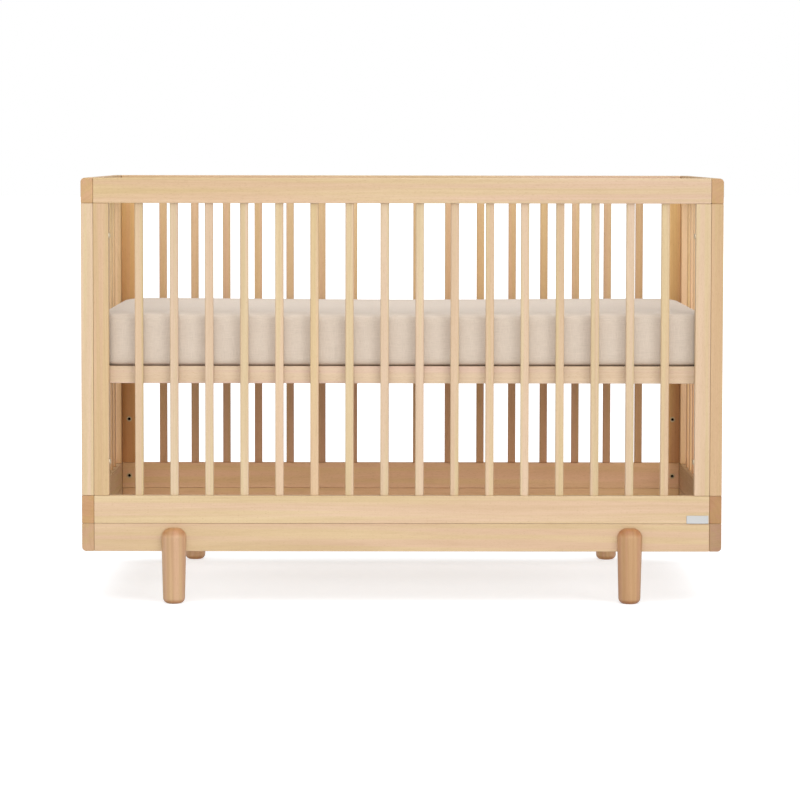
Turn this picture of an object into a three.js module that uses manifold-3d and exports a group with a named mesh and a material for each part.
// A full-size wooden baby crib with fixed sides: four slatted panels bolted at the corners, a base ring on
// four turned legs, and a mattress on a support that is bolted at one of three heights.
// Millimetres. +Z is up, -Y is the front, +X is to the right. The origin is on the floor under the middle.
import * as THREE from "three";
import { mergeVertices } from "three/addons/utils/BufferGeometryUtils.js";
import Module from "manifold-3d";

const wasm = await Module();
wasm.setup();

// ---------------------------------------------------------------- driving dimensions

const LENGTH = 1375; // X, over the end panels
const DEPTH = 755; // Y, over the front and back panels
const HEIGHT = 914; // Z, floor to the top of the rails
const GAP = 0.3; // air at every glued or bolted joint, so that no two pieces share a face

const FRAME_THICK = 22; // front and back panels, in Y
const END_THICK = 26; // end panels, in X
const TOP_RAIL_H = 54;
const BOTTOM_RAIL_H = 60;
const BASE_RAIL_H = 60;
const BASE_Z = 112; // underside of the base ring
const STILE_W = 33; // front and back panels, in X
const END_STILE_W = 50; // end panels, in Y
const OUTER_ROUND = 9; // long outer edges of the end panels, top and bottom

const SLAT_W = 18;
const SLAT_THICK = 12;
const SLAT_ROUND = 3;
const LONG_SLATS = 16; // in the front panel, and in the back panel
const LONG_PITCH = 75.2;
const END_SLATS = 8; // in each end panel
const TENON_W = 12;
const TENON_THICK = 8;
const TENON_L = 12;

const LEG_X = 490; // leg axes, left and right of the middle
const LEG_FOOT_R = 23.7;
const LEG_TOP_R = 27;
const LEG_TOP_Z = 163;
const LEG_FOOT_ROUND = 12;
const LEG_DOME_ROUND = 21;

const SUPPORT_TOP_Z = 509.5; // deck and apron top, at the highest of the three heights
const SUPPORT_RAIL_H = 37;
const SUPPORT_RAIL_THICK = 22;
const SUPPORT_CLEARANCE = 2; // to the panels, so that the support slides down between them
const SUPPORT_END_CLEARANCE = 3;
const BEARER_X = 614; // outer bearers, from the middle
const DECK_THICK = 8;
const DECK_REBATE = 10; // how far the deck rests on each long rail
const DECK_SLOT = { length: 120, width: 24, pitchX: 200, pitchY: 200, columns: 6, rows: 3 };

const INSERT_X = 645; // threaded inserts for the support, from the middle
const INSERT_HEIGHTS = [490, 336, 201]; // two in each stile, one in each bottom rail
const INSERT_R = 4.5;
const INSERT_DEPTH = 14;

const FRAME_BOLT_HEIGHTS = [305, 790]; // through each stile into the end panel
const FRAME_BOLT = { r: 3, length: 48, headR: 6.5, headH: 3.5 };
const SUPPORT_BOLT = { r: 3.5, length: 21.4, headR: 8, headH: 4 };
const BOLT_CLEARANCE = 0.4; // between a shank and its hole

const MATTRESS = { length: 1315, depth: 703, height: 114, cornerRound: 40, edgeRound: 16 };

const PLATE = { x: 635.5, z: 181.4, length: 47, height: 17, thick: 1.2 };

// ---------------------------------------------------------------- levels worked out from them

const END_X = LENGTH / 2 - END_THICK; // inner face of an end panel
const FRONT_Y = -DEPTH / 2; // outer face of the front panel
const INNER_Y = DEPTH / 2 - FRAME_THICK; // inner face of the front and back panels
const FRAME_MID_Y = DEPTH / 2 - FRAME_THICK / 2;
const END_MID_X = END_X + END_THICK / 2;
const BASE_TOP = BASE_Z + BASE_RAIL_H;
const BOTTOM_TOP = BASE_TOP + BOTTOM_RAIL_H;
const TOP_RAIL_Z = HEIGHT - TOP_RAIL_H;

// ---------------------------------------------------------------- materials

const wood = (colour) => new THREE.MeshStandardMaterial({ color: colour, roughness: 0.55, metalness: 0 });
const metal = (colour) => new THREE.MeshStandardMaterial({ color: colour, roughness: 0.35, metalness: 1 });
const BEECH = 0xe3c59a;
const BEECH_DARK = 0xd9b283;
const PLYWOOD = 0xd8c39c;
const STEEL = 0x8d8a85;
const PLATE_METAL = 0xb9bbbc;
const COVER = new THREE.MeshStandardMaterial({ color: 0xdcccb8, roughness: 0.95 });

// ---------------------------------------------------------------- helpers

// A closed three.js geometry as a solid that can be joined and cut.
function solid(geometry) {
  const bare = new THREE.BufferGeometry();
  bare.setAttribute("position", geometry.getAttribute("position"));
  bare.setIndex(geometry.index);
  const merged = mergeVertices(bare, 1e-4);
  const vertProperties = merged.getAttribute("position").array;
  const triVerts = new Uint32Array(merged.index.array);
  return new wasm.Manifold(new wasm.Mesh({ numProp: 3, vertProperties, triVerts }));
}

// The geometry of a cut or joined solid.
function geometryOf(made) {
  const mesh = made.getMesh();
  const geometry = new THREE.BufferGeometry();
  geometry.setAttribute("position", new THREE.BufferAttribute(mesh.vertProperties, 3));
  geometry.setIndex(new THREE.BufferAttribute(mesh.triVerts, 1));
  geometry.computeVertexNormals();
  return geometry;
}

// A box from its lowest corner to its highest.
function boxBetween([x0, y0, z0], [x1, y1, z1]) {
  const geometry = new THREE.BoxGeometry(x1 - x0, y1 - y0, z1 - z0);
  return geometry.translate((x0 + x1) / 2, (y0 + y1) / 2, (z0 + z1) / 2);
}

// A rectangle about the origin with all four corners rounded.
function roundedRectangle(width, height, radius) {
  const [w, h] = [width / 2 - radius, height / 2 - radius];
  const shape = new THREE.Shape();
  shape.absarc(w, h, radius, 0, Math.PI / 2);
  shape.absarc(-w, h, radius, Math.PI / 2, Math.PI);
  shape.absarc(-w, -h, radius, Math.PI, 1.5 * Math.PI);
  shape.absarc(w, -h, radius, 1.5 * Math.PI, 2 * Math.PI);
  return shape;
}

// Round bars that cut bores: one along X from x0 to x1, one along Y from y0 to y1.
const BORE_SIDES = 12;

function barX(radius, [x0, x1], y, z) {
  const bar = new THREE.CylinderGeometry(radius, radius, Math.abs(x1 - x0), BORE_SIDES);
  return bar.rotateZ(Math.PI / 2).translate((x0 + x1) / 2, y, z);
}

function barY(radius, x, [y0, y1], z) {
  const bar = new THREE.CylinderGeometry(radius, radius, Math.abs(y1 - y0), BORE_SIDES);
  return bar.translate(x, (y0 + y1) / 2, z);
}

const crib = new THREE.Group();

function addPiece(name, geometry, material, parent = crib) {
  const mesh = new THREE.Mesh(geometry, material);
  mesh.name = name;
  parent.add(mesh);
  return mesh;
}

// The geometry of a body with each cutter taken out of it.
function cut(body, cutters) {
  return geometryOf(cutters.reduce((rest, cutter) => rest.subtract(solid(cutter)), solid(body)));
}

// The geometry of closed bodies that overlap, joined into one.
function joined(bodies) {
  return geometryOf(bodies.map(solid).reduce((sum, body) => sum.add(body)));
}

// ---------------------------------------------------------------- slats and their mortises

// Slat centres along a panel, about its middle.
function slatPlaces(count, pitch) {
  return Array.from({ length: count }, (_, i) => (i - (count - 1) / 2) * pitch);
}

const LONG_PLACES = slatPlaces(LONG_SLATS, LONG_PITCH);
const END_PITCH = (DEPTH - 2 * END_STILE_W) / (END_SLATS + 1);
const END_PLACES = slatPlaces(END_SLATS, END_PITCH);

// A slat's blade from z0 to z1 with its width along X, and the bar that gives it its tenons.
function slatParts({ z0, z1, lowerTenon, upperTenon }) {
  const blade = new THREE.ExtrudeGeometry(roundedRectangle(SLAT_W, SLAT_THICK, SLAT_ROUND), {
    depth: z1 - z0,
    bevelEnabled: false,
    curveSegments: 2,
  });
  const low = z0 + (lowerTenon ? -TENON_L : 1);
  const high = z1 + (upperTenon ? TENON_L : -1);
  const [w, t] = [TENON_W / 2, TENON_THICK / 2];
  return [blade.translate(0, 0, z0), boxBetween([-w, -t, low], [w, t, high])];
}

// A loose slat has a tenon at both ends. A glued one is one piece with its bottom rail.
const LOOSE_SLAT = { z0: BOTTOM_TOP + GAP, z1: TOP_RAIL_Z - GAP, lowerTenon: true, upperTenon: true };
const GLUED_SLAT = { z0: BOTTOM_TOP - 1, z1: TOP_RAIL_Z - GAP, lowerTenon: false, upperTenon: true };

// The cutter for a slat's mortise: the tenon with room round it.
function mortise(zFrom, zTo) {
  const [w, t] = [TENON_W / 2 + GAP, TENON_THICK / 2 + GAP];
  return boxBetween([-w, -t, zFrom], [w, t, zTo]);
}

const MORTISE_DEPTH = TENON_L + 2 * GAP;
const upperMortise = () => mortise(TOP_RAIL_Z - 1, TOP_RAIL_Z + MORTISE_DEPTH);
const lowerMortise = () => mortise(BOTTOM_TOP - MORTISE_DEPTH, BOTTOM_TOP + 1);

// ---------------------------------------------------------------- front and back panels

// The bores of the support's threaded inserts, opening on a panel's inner face.
function insertBores(x, side, heights) {
  return heights.map((z) => barY(INSERT_R, x, [side * (INNER_Y - 1), side * (INNER_Y + INSERT_DEPTH)], z));
}

// The holes of one corner's frame bolts: through the stile and into the end panel.
function frameBoltHoles(endSide, side) {
  const start = END_X - STILE_W - 1;
  const end = start + FRAME_BOLT.length + 3;
  const radius = FRAME_BOLT.r + BOLT_CLEARANCE;
  return FRAME_BOLT_HEIGHTS.map((z) => barX(radius, [endSide * start, endSide * end], side * FRAME_MID_Y, z));
}

// A panel's rail or base rail between the end panels.
function longRail(side, z0, z1) {
  const y0 = side > 0 ? INNER_Y : FRONT_Y;
  return boxBetween([-END_X + GAP, y0, z0], [END_X - GAP, y0 + FRAME_THICK, z1]);
}

function longStile(side, endSide) {
  const [near, far] = [endSide * (END_X - STILE_W), endSide * (END_X - GAP)];
  const y0 = side > 0 ? INNER_Y : FRONT_Y;
  const body = boxBetween(
    [Math.min(near, far), y0, BOTTOM_TOP + GAP],
    [Math.max(near, far), y0 + FRAME_THICK, TOP_RAIL_Z - GAP],
  );
  const bores = insertBores(endSide * INSERT_X, side, INSERT_HEIGHTS.slice(0, 2));
  return cut(body, [...bores, ...frameBoltHoles(endSide, side)]);
}

const LONG_PANELS = [
  { where: "front", side: -1 },
  { where: "back", side: 1 },
];
const ENDS = [
  { hand: "left", endSide: -1 },
  { hand: "right", endSide: 1 },
];

for (const { where, side } of LONG_PANELS) {
  const slatY = side * FRAME_MID_Y;
  const placed = (geometry) => LONG_PLACES.map((x) => geometry.clone().translate(x, slatY, 0));

  const topRail = cut(longRail(side, TOP_RAIL_Z, HEIGHT), placed(upperMortise()));
  addPiece(`${where}_top_rail`, topRail, wood(BEECH));

  for (const { hand, endSide } of ENDS) {
    addPiece(`${where}_${hand}_stile`, longStile(side, endSide), wood(BEECH));
  }
  addPiece(`base_${where}_rail`, longRail(side, BASE_Z, BASE_TOP), wood(BEECH_DARK));
}

const lowInserts = (side) =>
  ENDS.flatMap(({ endSide }) => insertBores(endSide * INSERT_X, side, INSERT_HEIGHTS.slice(2)));

// The front panel's slats are loose pieces in mortises.
const frontMortises = LONG_PLACES.map((x) => lowerMortise().translate(x, -FRAME_MID_Y, 0));
const frontBottom = cut(longRail(-1, BASE_TOP + GAP, BOTTOM_TOP), [...frontMortises, ...lowInserts(-1)]);
addPiece("front_bottom_rail", frontBottom, wood(BEECH));

LONG_PLACES.forEach((x, i) => {
  const name = `front_slat_${String(i + 1).padStart(2, "0")}`;
  addPiece(name, joined(slatParts(LOOSE_SLAT)), wood(BEECH)).position.set(x, -FRAME_MID_Y, 0);
});

// The back panel's slats are glued into its bottom rail and make one piece with it.
const backSlats = LONG_PLACES.flatMap((x) => {
  return slatParts(GLUED_SLAT).map((part) => part.translate(x, FRAME_MID_Y, 0));
});
const backBottom = joined([cut(longRail(1, BASE_TOP + GAP, BOTTOM_TOP), lowInserts(1)), ...backSlats]);
addPiece("back_bottom_rail_with_slats", backBottom, wood(BEECH_DARK));

// ---------------------------------------------------------------- end panels and base ring

// A rail along Y at an end of the crib, with its outer top or outer bottom edge rounded.
function endRail(endSide, z0, z1, roundedAtTop) {
  const [height, round] = [z1 - z0, OUTER_ROUND];
  const profile = new THREE.Shape();
  profile.moveTo(0, 0);
  if (roundedAtTop) {
    profile.lineTo(END_THICK, 0);
    profile.absarc(END_THICK - round, height - round, round, 0, Math.PI / 2);
  } else {
    profile.lineTo(END_THICK - round, 0);
    profile.absarc(END_THICK - round, round, round, -Math.PI / 2, 0);
    profile.lineTo(END_THICK, height);
  }
  profile.lineTo(0, height);
  const rail = new THREE.ExtrudeGeometry(profile, { depth: DEPTH, bevelEnabled: false, curveSegments: 5 });
  rail.rotateX(Math.PI / 2).translate(END_X, DEPTH / 2, z0);
  return endSide > 0 ? rail : rail.rotateZ(Math.PI);
}

// A box of the end panel's thickness between two depths and two heights.
function endBox(endSide, [y0, y1], [z0, z1]) {
  const x0 = endSide > 0 ? END_X : -LENGTH / 2;
  return boxBetween([x0, y0, z0], [x0 + END_THICK, y1, z1]);
}

for (const { hand, endSide } of ENDS) {
  const half = DEPTH / 2;
  const placed = (geometry, y) => geometry.rotateZ(Math.PI / 2).translate(endSide * END_MID_X, y, 0);

  const mortises = END_PLACES.map((y) => placed(upperMortise(), y));
  const topRail = cut(endRail(endSide, TOP_RAIL_Z, HEIGHT, true), mortises);
  addPiece(`${hand}_end_top_rail`, topRail, wood(BEECH));

  const slats = END_PLACES.flatMap((y) => slatParts(GLUED_SLAT).map((part) => placed(part, y)));
  const bottomRail = endBox(endSide, [-half, half], [BASE_TOP + GAP, BOTTOM_TOP]);
  addPiece(`${hand}_end_bottom_rail_with_slats`, joined([bottomRail, ...slats]), wood(BEECH_DARK));

  for (const { where, side } of LONG_PANELS) {
    const reach = side > 0 ? [half - END_STILE_W, half] : [-half, END_STILE_W - half];
    const body = endBox(endSide, reach, [BOTTOM_TOP + GAP, TOP_RAIL_Z - GAP]);
    addPiece(`${hand}_end_${where}_stile`, cut(body, frameBoltHoles(endSide, side)), wood(BEECH));
  }

  addPiece(`base_${hand}_rail`, endRail(endSide, BASE_Z, BASE_TOP, false), wood(BEECH_DARK));
}

// ---------------------------------------------------------------- legs

// A turned leg about the Z axis: a round foot, a straight taper, and a domed top.
function turnedLeg() {
  const foot = new THREE.Path();
  foot.moveTo(0, 0);
  foot.lineTo(LEG_FOOT_R - LEG_FOOT_ROUND, 0);
  foot.absarc(LEG_FOOT_R - LEG_FOOT_ROUND, LEG_FOOT_ROUND, LEG_FOOT_ROUND, -Math.PI / 2, 0);
  foot.absarc(LEG_TOP_R - LEG_DOME_ROUND, LEG_TOP_Z - LEG_DOME_ROUND, LEG_DOME_ROUND, 0, Math.PI / 2);
  foot.lineTo(0, LEG_TOP_Z);
  return new THREE.LatheGeometry(foot.getPoints(2), 20).rotateX(Math.PI / 2);
}

// Each leg stands under its base rail, with its back half cut away where the rail passes.
for (const { where, side } of LONG_PANELS) {
  for (const { hand, endSide } of ENDS) {
    const reach = LEG_TOP_R + 1;
    const [y0, y1] = side > 0 ? [-reach, GAP] : [-GAP, reach];
    const notch = boxBetween([-reach, y0, BASE_Z - GAP], [reach, y1, LEG_TOP_Z + 1]);
    const leg = addPiece(`leg_${where}_${hand}`, cut(turnedLeg(), [notch]), wood(BEECH_DARK));
    leg.position.set(endSide * LEG_X, side * (DEPTH / 2), 0);
  }
}

// ---------------------------------------------------------------- bolts and plate

// A domed bolt along -Z under its head: the head's seat is at z = 0.
function bolt({ r, length, headR, headH }) {
  const profile = new THREE.Path();
  profile.moveTo(0, -length);
  profile.lineTo(r, -length);
  profile.lineTo(r, 0);
  profile.lineTo(headR, 0);
  profile.lineTo(headR, headH * 0.4);
  profile.lineTo(headR * 0.6, headH);
  profile.lineTo(0, headH);
  return new THREE.LatheGeometry(profile.getPoints(), 12).rotateX(Math.PI / 2);
}

// The heads of the frame bolts show on the inner edges of the stiles.
for (const { where, side } of LONG_PANELS) {
  for (const { hand, endSide } of ENDS) {
    FRAME_BOLT_HEIGHTS.forEach((z, i) => {
      const name = `frame_bolt_${where}_${hand}_${i ? "upper" : "lower"}`;
      const piece = addPiece(name, bolt(FRAME_BOLT), metal(STEEL));
      piece.rotation.y = -endSide * (Math.PI / 2);
      piece.position.set(endSide * (END_X - STILE_W - GAP), side * FRAME_MID_Y, z);
    });
  }
}

const plate = boxBetween(
  [-PLATE.length / 2, -PLATE.thick, -PLATE.height / 2],
  [PLATE.length / 2, 0, PLATE.height / 2],
);
addPiece("blank_plate", plate, metal(PLATE_METAL)).position.set(PLATE.x, FRONT_Y - GAP, PLATE.z);

// ---------------------------------------------------------------- mattress support

const support = new THREE.Group();
crib.add(support);

const SUPPORT_X = END_X - SUPPORT_END_CLEARANCE;
const SUPPORT_Y = INNER_Y - SUPPORT_CLEARANCE;
const RAIL_INNER_Y = SUPPORT_Y - SUPPORT_RAIL_THICK;
const SUPPORT_LOW_Z = SUPPORT_TOP_Z - SUPPORT_RAIL_H;
const REBATE_Z = SUPPORT_TOP_Z - DECK_THICK - GAP;

// The long rails carry the deck on a rebate, and the support bolts pass through their ends.
function supportRail(side) {
  const across = (x, from, to, z0, z1) => {
    const [y0, y1] = side > 0 ? [from, to] : [-to, -from];
    return boxBetween([-x, y0, z0], [x, y1, z1]);
  };
  const body = across(SUPPORT_X, RAIL_INNER_Y, SUPPORT_Y, SUPPORT_LOW_Z, SUPPORT_TOP_Z);
  const rebateY = RAIL_INNER_Y + DECK_REBATE;
  const rebate = across(SUPPORT_X + 1, RAIL_INNER_Y - 1, rebateY, REBATE_Z, SUPPORT_TOP_Z + 1);
  const holes = ENDS.map(({ endSide }) => {
    const reach = [side * (RAIL_INNER_Y - 1), side * (SUPPORT_Y + 1)];
    return barY(SUPPORT_BOLT.r + BOLT_CLEARANCE, endSide * INSERT_X, reach, INSERT_HEIGHTS[0]);
  });
  return cut(body, [rebate, ...holes]);
}

for (const { where, side } of LONG_PANELS) {
  addPiece(`support_${where}_rail`, supportRail(side), wood(BEECH), support);
  for (const { hand, endSide } of ENDS) {
    const piece = addPiece(`support_bolt_${where}_${hand}`, bolt(SUPPORT_BOLT), metal(STEEL), support);
    piece.rotation.x = side * (Math.PI / 2);
    piece.position.set(endSide * INSERT_X, side * (RAIL_INNER_Y - GAP), INSERT_HEIGHTS[0]);
  }
}

// Three bearers between the long rails carry the deck.
const BEARERS = { left: -BEARER_X, centre: 0, right: BEARER_X };
for (const [place, x] of Object.entries(BEARERS)) {
  const [reachX, reachY] = [SUPPORT_RAIL_THICK / 2, RAIL_INNER_Y - GAP];
  const bearer = boxBetween([x - reachX, -reachY, SUPPORT_LOW_Z], [x + reachX, reachY, REBATE_Z]);
  addPiece(`support_${place}_bearer`, bearer, wood(BEECH_DARK), support);
}

// The plywood deck lets air through in rows of slots.
function deckShape() {
  const reachY = RAIL_INNER_Y + DECK_REBATE - GAP;
  const outline = new THREE.Shape();
  outline.moveTo(-SUPPORT_X, -reachY);
  outline.lineTo(SUPPORT_X, -reachY);
  outline.lineTo(SUPPORT_X, reachY);
  outline.lineTo(-SUPPORT_X, reachY);
  for (const x of slatPlaces(DECK_SLOT.columns, DECK_SLOT.pitchX)) {
    for (const y of slatPlaces(DECK_SLOT.rows, DECK_SLOT.pitchY)) {
      const [reach, radius] = [(DECK_SLOT.length - DECK_SLOT.width) / 2, DECK_SLOT.width / 2];
      const slot = new THREE.Path();
      slot.absarc(x + reach, y, radius, -Math.PI / 2, Math.PI / 2);
      slot.absarc(x - reach, y, radius, Math.PI / 2, 1.5 * Math.PI);
      outline.holes.push(slot);
    }
  }
  return outline;
}

const deck = new THREE.ExtrudeGeometry(deckShape(), {
  depth: DECK_THICK,
  bevelEnabled: false,
  curveSegments: 3,
}).translate(0, 0, SUPPORT_TOP_Z - DECK_THICK);
addPiece("support_deck", deck, wood(PLYWOOD), support);

// ---------------------------------------------------------------- mattress

// A plain pad with rounded corners and softened top and bottom edges, lying on the deck.
const { edgeRound } = MATTRESS;
const padOutline = roundedRectangle(
  MATTRESS.length - 2 * edgeRound,
  MATTRESS.depth - 2 * edgeRound,
  MATTRESS.cornerRound - edgeRound,
);
const pad = new THREE.ExtrudeGeometry(padOutline, {
  depth: MATTRESS.height - 2 * edgeRound,
  bevelThickness: edgeRound,
  bevelSize: edgeRound,
  bevelSegments: 3,
  curveSegments: 4,
}).translate(0, 0, SUPPORT_TOP_Z + GAP + edgeRound);
addPiece("mattress", pad, COVER);

export default crib;
